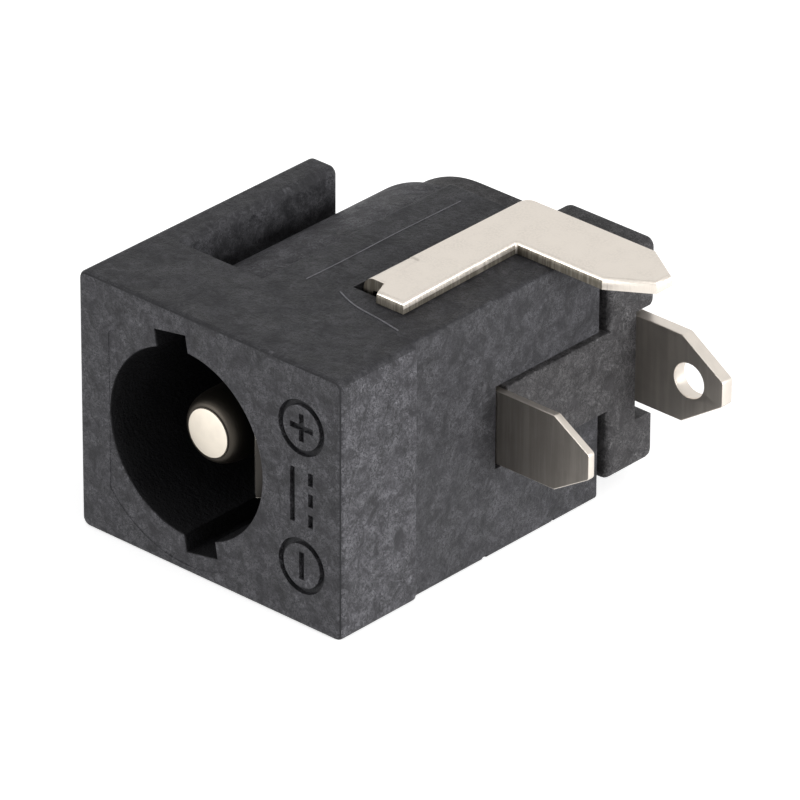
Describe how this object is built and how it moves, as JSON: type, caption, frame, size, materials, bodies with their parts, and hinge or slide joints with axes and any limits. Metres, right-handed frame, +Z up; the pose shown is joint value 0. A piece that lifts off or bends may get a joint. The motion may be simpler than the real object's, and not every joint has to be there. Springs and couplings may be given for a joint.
{
  "type": "dc barrel jack",
  "caption": "Right-angle DC power jack with a square moulded housing, a round socket with a centre pin, and flat solder tails on the board side.",
  "frame": {"origin": "on the socket's axis, at the housing's front face", "axes": "+Y runs into the socket, +X points at the board as the solder tails do, +Z is up as the jack lies on its side"},
  "size_m": [0.0146, 0.0145, 0.0094],
  "materials": {
    "housing_plastic": "charcoal black moulded plastic, fine spark texture, light wear on the edges",
    "insulator_plastic": "dark grey glass-filled plastic, rougher than the housing",
    "pin_metal": "turned, bright nickel plate",
    "centre_metal": "stamped sheet, satin tin plate",
    "sleeve_metal": "stamped spring sheet, satin tin plate",
    "switch_metal": "stamped sheet, bright tin plate"
  },
  "bodies": {
    "root": {"housing": "housing_plastic", "rear_insulator": "insulator_plastic", "centre_pin": "pin_metal", "centre_terminal": "centre_metal", "sleeve_spring": "sleeve_metal", "switch_terminal": "switch_metal"}
  },
  "joints": []
}
